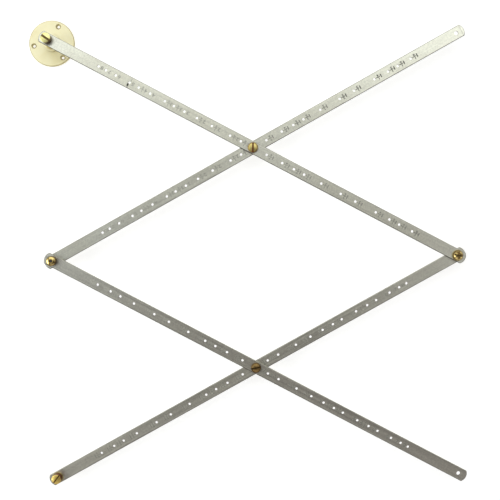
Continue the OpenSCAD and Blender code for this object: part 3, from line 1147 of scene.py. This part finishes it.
    def number(self, top: float) -> bpy.types.Object:
        """Stamp every number, which reads towards the zero end, on the far side of its hole.

        Args:
            top: the level of the bar's upper face.

        Returns:
            The numbers, with the scratches, as one piece.
        """
        mesh = bmesh.new()
        mesh.verts.layers.float.new(INK)
        level = top + self.number_rise / 2
        for mark in self.scratches:
            spot = Matrix.Translation((mark.along, mark.aside, level))
            data = glyphs("-", mark.length, mark.width)
            self.stamp(mesh, data, spot @ Matrix.Diagonal((1, 1, self.number_rise, 1)), mark.ink)
        places = [self.hole_at(mark) for mark in self.marks] + [self.length]
        for mark, here, following in zip(self.marks, places, places[1:]):
            strokes, length = self.label(mark)
            start = here + self.ratio_hole + self.number_gap
            room = following - self.ratio_hole - self.digit_gap - start
            tight = min(1.0, room / length)
            shade = self.ink_near + (self.ink_far - self.ink_near) * (start / self.length) ** self.ink_bend
            size = Matrix.Diagonal((tight * self.spread, 1, self.number_rise, 1))
            for data, centre, rise in strokes:
                spot = Matrix.Translation((start + tight * centre, -rise, level))
                self.stamp(mesh, data, spot @ Matrix.Rotation(pi, 4, "Z") @ size, shade)
        return add_piece(f"{self.node}_numbers", mesh, self.place, self.node, [Finish.NUMBERS])


@dataclass(frozen=True)
class Head:
    """A slotted round head."""

    crown: float
    slot_turn: float
    slot_width: float = 1.8
    slot_depth: float = 1.8
    eased: float = 0.18

    def start(self, node: str, base: float) -> Turning:
        """Draw the crowned top and the side of the head.

        Args:
            node: the CAD node that gives its radius and its top.
            base: the level of the head's underside.

        Returns:
            The profile, which ends at the rim of the underside.
        """
        radius = half_width(node)
        return Turning.crowned(radius, levels(node)[1], self.crown).to(radius, base)

    def finish(self, profile: Turning, node: str, base: float) -> bmesh.types.BMesh:
        """Turn the whole profile, paint shade on the head's sides, mill its slot and ease its edges.

        Args:
            profile: the head's profile with what is under it.
            node: the CAD node that gives its top.
            base: the level of the head's underside.

        Returns:
            The mesh.
        """
        top = levels(node)[1]
        mesh = profile.turn()
        shade_sides(mesh, top - self.crown - self.eased)
        cut_slot(mesh, self.slot_width, top - self.slot_depth, self.slot_turn)
        ease_edges(mesh, self.eased, base)
        return mesh


@dataclass(frozen=True)
class Fittings:
    """Turned pieces that share one upright axis."""

    axis: Vector
    end_shank: float = 2.04
    end_hole: float = 2.1
    thread: float = 1.5
    thread_bore: float = 1.55
    thread_depth: float = 6.05
    sleeve_radius: float = 4.5
    sleeve_tip: float = 2.2
    sleeve_cone: float = 3.5
    thumb_radius: float = 2.5
    thumb_length: float = 3.0
    thumb_shank: float = 1.0
    thumb_gap: float = 0.4
    thumb_grooves: int = 14
    groove: float = 0.28
    eased: float = 0.25
    seat_gap: float = 0.05

    def turned(self, node: str, body: str, mesh: bmesh.types.BMesh, *finishes: Finish,
               turn: Matrix | None = None, sharp: float = CRISP) -> bpy.types.Object:
        """Put a turned piece on the axis.

        Args:
            node: the CAD node that it stands for.
            body: the CAD body that it moves with.
            mesh: the piece.
            finishes: its finishes, which are brass and the painted deep shade if none is given.
            turn: how it lies on the axis, if not upright.
            sharp: the least angle between two faces that stays a crisp edge, in degrees.

        Returns:
            The new object.
        """
        place = Matrix.Translation((self.axis.x, self.axis.y, 0)) @ (turn or Matrix.Identity(4))
        finishes = finishes or (Finish.BRASS, Finish.DEEP_SHADE_BRASS)
        return add_piece(f"turned_{node}", mesh, place, body, list(finishes), node, sharp)

    def screw(self, node: str, body: str, head: Head, base: float, seat: float,
              *finishes: Finish) -> bpy.types.Object:
        """Make an end screw: a slotted head, a shank for the bars and a thinner thread.

        Args:
            node: the CAD node that it stands for.
            body: the CAD body that it moves with.
            head: its head.
            base: the level of the head's underside.
            seat: the level where the thread begins.
            finishes: the finish of the head's top and the finish of the rest, which is a painted shade.

        Returns:
            The new object.
        """
        low = levels(node)[0]
        profile = head.start(node, base).to(self.end_shank, base).to(self.end_shank, seat)
        profile.to(self.thread, seat).thread(low).to(0, low)
        return self.turned(node, body, head.finish(profile, node, base), *finishes)

    def washer(self, node: str, body: str, bore: float) -> bpy.types.Object:
        """Make a flat washer and return it."""
        low, high = levels(node)
        return self.turned(node, body, ring(half_width(node), bore, low, high), Finish.DIM_SHADE_BRASS)

    def rod(self, node: str, body: str, radius: float, tip: float, taper: float, flats: int,
            finish: Finish) -> bpy.types.Object:
        """Make a rod that tapers to a blunt tip on the paper.

        Args:
            node: the CAD node that it stands for.
            body: the CAD body that it moves with.
            radius: its radius.
            tip: the radius of its tip.
            taper: the length of its taper.
            flats: the number of flats round it.
            finish: its finish.

        Returns:
            The new object.
        """
        low, high = levels(node)
        profile = Turning(0, high).to(radius, high).to(radius, low + taper).to(tip, low).to(0, low)
        return self.turned(node, body, profile.turn(flats), finish)

    def level_frame(self, node: str, level: Vector) -> Matrix:
        """Find the frame of a thumb screw.

        Args:
            node: the screw's CAD node.
            level: the level direction in which it points out.

        Returns:
            The frame, with its Z axis along that direction and its origin on the upright axis.
        """
        low, high = levels(node)
        upright = Matrix.Translation((0, 0, (low + high) / 2))
        return upright @ Matrix.Rotation(atan2(level.y, level.x), 4, "Z") @ Matrix.Rotation(pi / 2, 4, "Y")

    def sleeve(self, node: str, body: str, bore: float, thread_bore: float,
               cross: Matrix) -> bpy.types.Object:
        """Make a sleeve that tapers towards the paper, threaded above, with a cross hole for its thumb screw.

        Args:
            node: the CAD node that it stands for.
            body: the CAD body that it moves with.
            bore: the radius of its narrow bore.
            thread_bore: the radius of the threaded bore above it.
            cross: the thumb screw's frame.

        Returns:
            The new object.
        """
        low, high = levels(node)
        floor = high - self.thread_depth
        profile = Turning(thread_bore, high).to(self.sleeve_radius, high)
        profile.to(self.sleeve_radius, low + self.sleeve_cone).to(self.sleeve_tip, low).to(bore, low)
        mesh = profile.to(bore, floor).to(thread_bore, floor).close().turn()
        ease_edges(mesh, self.eased)
        drilled = drill(mesh, self.thumb_shank + self.seat_gap, 2 * self.sleeve_radius, cross)
        return self.turned(node, body, drilled)

    def thumb_screw(self, node: str, body: str, cross: Matrix, inner: float) -> bpy.types.Object:
        """Make a grooved thumb screw that lies level.

        Args:
            node: the CAD node that it stands for.
            body: the CAD body that it moves with.
            cross: its frame, with its Z axis pointing out.
            inner: how far its inner end is from the upright axis.

        Returns:
            The new object.
        """
        head = self.sleeve_radius + self.thumb_gap
        outer = head + self.thumb_length
        profile = Turning(0, inner).to(self.thumb_shank, inner).thread(head).to(self.thumb_radius, head)
        mesh = profile.to(self.thumb_radius, outer).to(0, outer).turn(GROOVE_FLATS * self.thumb_grooves)
        ease_edges(mesh, self.eased, head)
        knurl(mesh, self.thumb_radius, self.groove, self.thumb_grooves)
        return self.turned(node, body, mesh, turn=cross)


@dataclass(frozen=True)
class Anchor(Fittings):
    """The plate that is screwed down, its post and the knob that keeps the bar on."""

    knob: Head = Head(crown=0.7, slot_turn=-36, slot_width=2.4)
    knob_bore: float = 4.05
    bevel: float = 0.8
    sink: float = 3.0
    first_hole: float = 67.0
    plate_flats: int = 128
    rivet: float = 3.0
    foot_height: float = 1.5
    cone_radius: float = 7.0
    cone_height: float = 4.0
    column: float = 4.5
    crisp: float = 30.0

    def plate(self) -> bpy.types.Object:
        """Make the round plate with its bevelled edge and countersunk holes.

        Returns:
            The plate.
        """
        pattern = mount_named("base_screws")["dims"]
        low, high = levels("base_plate")
        radius, hole = half_width("base_plate"), pattern["hole_r_mm"]
        mesh = bmesh.new()
        steps = ((self.bevel, high), (0.0, high - self.bevel), (0.0, low + self.eased), (self.eased, low))
        walls = [[circle(mesh, radius - inset, (0, 0, z), self.plate_flats) for inset, z in steps]]
        walls.append([circle(mesh, self.rivet + self.seat_gap, (0, 0, z)) for z in (high, low)])
        reach = pattern["pcd_mm"] / 2
        sunk = ((self.sink, high), (hole, high - self.sink + hole), (hole, low))
        for number in range(pattern["count"]):
            turn = radians(self.first_hole) + number * tau / pattern["count"]
            x, y = reach * cos(turn), reach * sin(turn)
            walls.append([circle(mesh, wide, (x, y, z)) for wide, z in sunk])
        fill_sheet(mesh, walls)
        # The plate's rim and countersinks take the painted shade as their second finish.
        return self.turned("base_plate", "anchor", mesh, Finish.PLATE, Finish.DIM_SHADE_BRASS, sharp=self.crisp)

    def post(self) -> bpy.types.Object:
        """Make the post, from its rivet in the plate to the thread in the knob.

        Returns:
            The post.
        """
        low, top = levels("anchor_post")
        plate = levels("base_plate")[1]
        shoulder = levels("anchor_washers")[0]
        knob = levels("anchor_knob")[0]
        foot, cone = half_width("anchor_post"), plate + self.foot_height
        profile = Turning(0, low).to(self.rivet, low).to(self.rivet, plate).to(foot, plate).to(foot, cone)
        profile.to(self.cone_radius, cone).to(self.column, cone + self.cone_height).to(self.column, shoulder)
        profile.to(self.end_shank, shoulder).to(self.end_shank, knob)
        mesh = profile.to(self.thread, knob).thread(top).to(0, top).turn()
        shade_sides(mesh, plate, self.cone_radius)
        return self.turned("anchor_post", "anchor", mesh, Finish.PLATE, Finish.DIM_SHADE_BRASS, sharp=self.crisp)

    def washers(self) -> bpy.types.Object:
        """Make the washers under and over the bar.

        Returns:
            Both washers as one piece.
        """
        low, high = levels("anchor_bar")
        bottom, top = levels("anchor_washers")
        radius = half_width("anchor_washers")
        mesh = ring(radius, self.end_hole, bottom, low)
        mesh.from_mesh(keep(ring(radius, self.end_hole, high, top), "washer"))
        return self.turned("anchor_washers", "anchor", mesh, Finish.DIM_SHADE_BRASS)

    def build(self) -> list[bpy.types.Object]:
        """Make the anchor's pieces.

        Returns:
            The pieces.
        """
        node, base = "anchor_knob", levels("anchor_knob")[0]
        roof = base + self.knob_bore
        profile = self.knob.start(node, base).to(self.thread_bore, base)
        profile.to(self.thread_bore, roof).to(0, roof)
        mesh = self.knob.finish(profile, node, base)
        knob = self.turned(node, "anchor", mesh, Finish.LIT_BRASS, Finish.DEEP_SHADE_BRASS)
        return [self.plate(), self.post(), self.washers(), knob]


@dataclass(frozen=True)
class Crossing(Fittings):
    """A slotted screw through two crossed bars, with a washer between them and a grooved nut below."""

    name: str = "upper"
    body: str = "anchor_bar"
    slot_turn: float = 88.0
    crown: float = 1.2
    shank: float = 1.29
    hole: float = 1.35
    grooves: int = 28
    top: Finish = Finish.YELLOW_BRASS
    # side is the painted shade on the head's sides and slot.
    side: Finish = Finish.RED_SHADE_BRASS

    def build(self) -> list[bpy.types.Object]:
        """Make the crossing's pieces.

        Returns:
            The pieces.
        """
        screw, spacer, nut = (f"{self.name}_{part}" for part in ("screw", "spacer", "nut"))
        head = Head(self.crown, self.slot_turn)
        base, tip = levels(self.body)[1], levels(screw)[0]
        low, high = levels(nut)
        profile = head.start(screw, base).to(self.shank, base).to(self.shank, high).thread(tip).to(0, tip)
        made = self.turned(screw, self.body, head.finish(profile, screw, base), self.top, self.side)

        radius, bore = half_width(nut), self.shank + self.seat_gap
        profile = Turning(radius, high).to(radius, low).to(bore, low).to(bore, high).close()
        mesh = profile.turn(GROOVE_FLATS * self.grooves)
        ease_edges(mesh, self.eased)
        knurl(mesh, radius, self.groove, self.grooves)
        return [made, self.washer(spacer, self.body, self.hole), self.turned(nut, self.body, mesh)]


@dataclass(frozen=True)
class Corner(Fittings):
    """The right corner: a domed screw, its washers and the round foot that carries the bars."""

    body: str = "anchor_bar"
    dome: Head = Head(crown=3.2, slot_turn=-12)
    collar: float = 4.0
    waist: float = 3.2
    ball_steps: int = 20

    def foot(self) -> bpy.types.Object:
        """Make the foot: a threaded collar, a waist and a ball on the paper.

        Returns:
            The foot.
        """
        low, high = levels("corner_foot")
        radius = half_width("corner_foot")
        floor = high - self.thread_depth
        profile = Turning(0, low).arc(low + radius, -(pi - asin(self.waist / radius)), self.ball_steps)
        profile.to(self.waist, high - self.collar).to(radius, high - self.collar).to(radius, high)
        mesh = profile.to(self.thread_bore, high).to(self.thread_bore, floor).to(0, floor).turn()
        ease_edges(mesh, self.eased)
        return self.turned("corner_foot", self.body, mesh)

    def build(self) -> list[bpy.types.Object]:
        """Make the corner's pieces.

        Returns:
            The pieces.
        """
        base, seat = levels("corner_washer")[1], levels("corner_foot")[1]
        finishes = (Finish.STAINED_SHADED_BRASS, Finish.DEEP_SHADE_BRASS)
        screw = self.screw("corner_screw", self.body, self.dome, base, seat, *finishes)
        washers = [self.washer(node, self.body, self.end_hole) for node in ("corner_washer", "corner_spacer")]
        return [screw, *washers, self.foot()]


@dataclass(frozen=True)
class LeadHolder(Fittings):
    """The left corner: a bored knob that holds the lead, its nose and its thumb screw."""

    level: Vector = Vector((1, 0, 0))
    crown: float = 1.6
    crown_steps: int = 10
    sink: float = 2.5
    sink_depth: float = 1.3
    throat: float = 1.8
    bore: float = 1.06
    holder_thread: float = 1.8
    lead: float = 1.0
    lead_flats: int = 24
    tip: float = 0.25
    tip_length: float = 2.4

    def knob(self) -> bpy.types.Object:
        """Make the bored knob with its shank and thread.

        Returns:
            The knob.
        """
        low, high = levels("lead_holder")
        base = levels("lower_cross_bar")[1]
        seat = levels("lead_nose")[1]
        radius = half_width("lead_holder")
        ball = ball_radius(radius, self.crown)
        start = asin(self.sink / ball)
        rim = high - ball + ball * cos(start)
        profile = Turning(self.sink, rim).arc(high - ball, asin(radius / ball) - start, self.crown_steps)
        profile.to(radius, base).to(self.end_shank, base).to(self.end_shank, seat)
        profile.to(self.holder_thread, seat).thread(low).to(self.bore, low)
        floor = high - self.sink_depth
        share = (self.throat - self.bore) / (self.sink - self.bore)
        mesh = profile.to(self.bore, floor).to(self.throat, floor + share * (rim - floor)).close().turn()
        ease_edges(mesh, self.eased / 2, base)
        shade_sides(mesh, high - self.crown - self.eased, self.throat)
        return self.turned("lead_holder", "lead_holder", mesh, Finish.STAINED_SHADED_BRASS, Finish.DEEP_SHADE_BRASS)

    def build(self) -> list[bpy.types.Object]:
        """Make the lead holder's pieces.

        Returns:
            The pieces.
        """
        lead = self.rod("drawing_lead", "lead", self.lead, self.tip, self.tip_length, self.lead_flats,
                        Finish.GRAPHITE)
        cross = self.level_frame("lead_clamp_screw", self.level)
        nose = self.sleeve("lead_nose", "lead_holder", self.bore, self.holder_thread + self.seat_gap, cross)
        clamp = self.thumb_screw("lead_clamp_screw", "lead_clamp", cross, self.bore)
        spacer = self.washer("lead_spacer", "upper_cross_bar", self.end_hole)
        return [self.knob(), spacer, nose, lead, clamp]


@dataclass(frozen=True)
class Tracer(Fittings):
    """The lower left end: a slotted head, a sleeve and the steel point that follows the drawing."""

    level: Vector = Vector((1, 0, 0))
    head: Head = Head(crown=0.9, slot_turn=53, slot_width=1.2)
    point: float = 1.25
    point_flats: int = 32
    tip: float = 0.3
    taper: float = 3.4

    def build(self) -> list[bpy.types.Object]:
        """Make the tracer's pieces.

        Returns:
            The pieces.
        """
        base, seat = levels("tracer_washer")[1], levels("tracer_sleeve")[1]
        finishes = (Finish.GOLD_BRASS, Finish.RED_SHADE_BRASS)
        screw = self.screw("tracer_screw", "tracer", self.head, base, seat, *finishes)
        point = self.rod("tracer_point", "point", self.point, self.tip, self.taper, self.point_flats,
                         Finish.STEEL)
        bore = self.point + self.seat_gap
        cross = self.level_frame("tracer_set_screw", self.level)
        sleeve = self.sleeve("tracer_sleeve", "tracer", bore, self.thread_bore, cross)
        clamp = self.thumb_screw("tracer_set_screw", "point_clamp", cross, bore)
        return [screw, self.washer("tracer_washer", "tracer", self.end_hole), sleeve, point, clamp]


@dataclass(frozen=True)
class SoftBox:
    """A large soft lamp that faces a point, with the brightness of its own face, where 1 is white."""

    name: str
    place: Triple
    size: tuple[float, float]
    brightness: float
    tint: Triple = (1.0, 1.0, 1.0)

    def build(self, target: Vector) -> bpy.types.Object:
        """Make the lamp.

        Args:
            target: the point that it faces, in metres.

        Returns:
            The lamp's object.
        """
        lamp = bpy.data.lights.new(self.name, "AREA")
        lamp.shape = "RECTANGLE"
        lamp.size, lamp.size_y = self.size
        lamp.energy = self.brightness * pi * self.size[0] * self.size[1]
        lamp.color = self.tint
        holder = put_in_scene(self.name, lamp)
        holder.location = self.place
        holder.rotation_euler = (target - Vector(self.place)).to_track_quat("-Z", "Y").to_euler()
        return holder


@dataclass(frozen=True)
class Studio:
    """A pale floor that runs up into a round backdrop, soft lamps, a dim ceiling and the camera.

    Sizes and places are in metres here, and the camera's turn is in degrees.
    """

    middle: Vector
    floor_radius: float = 2.6
    wall_radius: float = 3.2
    wall_height: float = 1.7
    wall_flats: int = 96
    bend_steps: int = 12
    drop: float = 0.0003
    ceiling: Colour = (0.156, 0.145, 0.138, 1)
    camera_place: Triple = (0.2235, -0.2053, 0.8065)
    camera_turn: Triple = (-2.05, 0.37, -0.80)
    focal_pixels: float = 713.7
    image_pixels: float = 500.0
    sensor: float = 36.0
    lamps: tuple[SoftBox, ...] = (
        SoftBox("far_box", (0.24, 0.95, 1.75), (3.2, 1.5), 1.5, (0.96, 1.0, 0.97)),
        SoftBox("left_box", (-1.75, -0.5, 1.15), (1.6, 1.0), 3.9, (0.95, 1.0, 0.97)),
        SoftBox("over_left_box", (-0.9, -0.15, 1.55), (0.9, 1.1), 0.5, (0.8, 0.9, 1.0)),
        SoftBox("over_right_box", (1.35, -0.15, 1.55), (0.9, 1.1), 0.48),
        SoftBox("near_box", (0.2, -1.7, 1.3), (2.4, 0.9), 0.5, (1.0, 0.94, 0.96)),
    )

    def backdrop(self) -> bpy.types.Object:
        """Make the floor and the backdrop in one sweep.

        Returns:
            The backdrop.
        """
        bend = self.wall_radius - self.floor_radius
        profile = Turning(0, 0).to(self.floor_radius, 0)
        profile.arc(bend, -pi / 2, self.bend_steps, self.floor_radius).to(self.wall_radius, self.wall_height)
        mesh = profile.turn(self.wall_flats)
        bmesh.ops.recalc_face_normals(mesh, faces=mesh.faces)
        bmesh.ops.translate(mesh, verts=mesh.verts, vec=(self.middle.x, self.middle.y, -self.drop))
        data = keep(mesh, "studio_backdrop")
        shade_smooth(data)
        data.materials.append(material_of(Finish.PAPER))
        backdrop = put_in_scene("studio_backdrop", data)
        return backdrop

    def camera(self) -> bpy.types.Object:
        """Make the camera.

        Returns:
            The camera's object.
        """
        view = bpy.data.cameras.new("camera")
        view.sensor_width = self.sensor
        view.lens = self.focal_pixels / self.image_pixels * self.sensor
        camera = put_in_scene("camera", view)
        camera.location = self.camera_place
        turn = [radians(angle) for angle in self.camera_turn]
        camera.rotation_euler = Euler(turn, "ZYX").to_matrix().to_euler()
        return camera

    def build(self) -> None:
        """Make the backdrop, the lamps, the ceiling's light and the camera."""
        scene = bpy.context.scene
        scene.view_settings.view_transform = "Standard"
        self.backdrop()
        for lamp in self.lamps:
            lamp.build(self.middle)
        world = bpy.data.worlds.new("dim_ceiling")
        world.use_nodes = True
        world.node_tree.nodes["Background"].inputs["Color"].default_value = self.ceiling
        scene.world = world
        scene.camera = self.camera()


def main() -> None:
    """Build the instrument and its studio, and log each piece."""
    logging.basicConfig(level=logging.INFO, format="%(name)s %(message)s")
    anchor, upper, corner = joint_at("anchor_swivel"), joint_at("frame_fold"), joint_at("corner_pivot")
    left, tracer = joint_at("left_pivot"), joint_at("tracer_turn")
    upper_end, lower_end = mount_at("upper_bar_end_hole"), mount_at("lower_bar_end_hole")
    rising = upper - left
    nick = (
        Scratch(along=100.9, aside=-2.9, width=1.9, length=3.0, ink=1.4),
        Scratch(along=101.3, aside=-5.6, width=1.1, length=1.0, ink=1.2),
        Scratch(along=102.6, aside=3.2, width=0.5, length=3.4, ink=0.6),
    )
    scribed = (Scratch(along=514.0, aside=0.0, width=0.4, length=11.6, ink=0.4),)
    Studio((CAD_BOX[0] + CAD_BOX[1]) / 2).build()
    assemblies = [
        Anchor(anchor),
        Bar("anchor_bar", anchor, corner, ink_near=0.45, ink_far=0.85, scratches=nick),
        Bar("upper_cross_bar", left, upper_end, ink_near=0.38, ink_far=2.0, scratches=scribed),
        Bar("lower_cross_bar", lower_end, left, ink_near=0.72, ink_far=0.1, face=Finish.SHADED_FACE),
        Bar("tracer_bar", corner, tracer, ink_near=0.58, ink_far=0.64),
        Crossing(upper),
        Crossing((left + lower_end) / 2, name="lower", body="lower_cross_bar", slot_turn=12.0, shank=1.25,
                 top=Finish.DARK_REFLECTION_BRASS, side=Finish.DEEP_SHADE_BRASS),
        Corner(corner),
        LeadHolder(left, level=rising),
        Tracer(tracer, level=rising),
    ]
    for assembly in assemblies:
        made = assembly.build()
        LOG.info("%s: %d pieces", type(assembly).__name__, len(made))


if __name__ == "__main__":
    main()
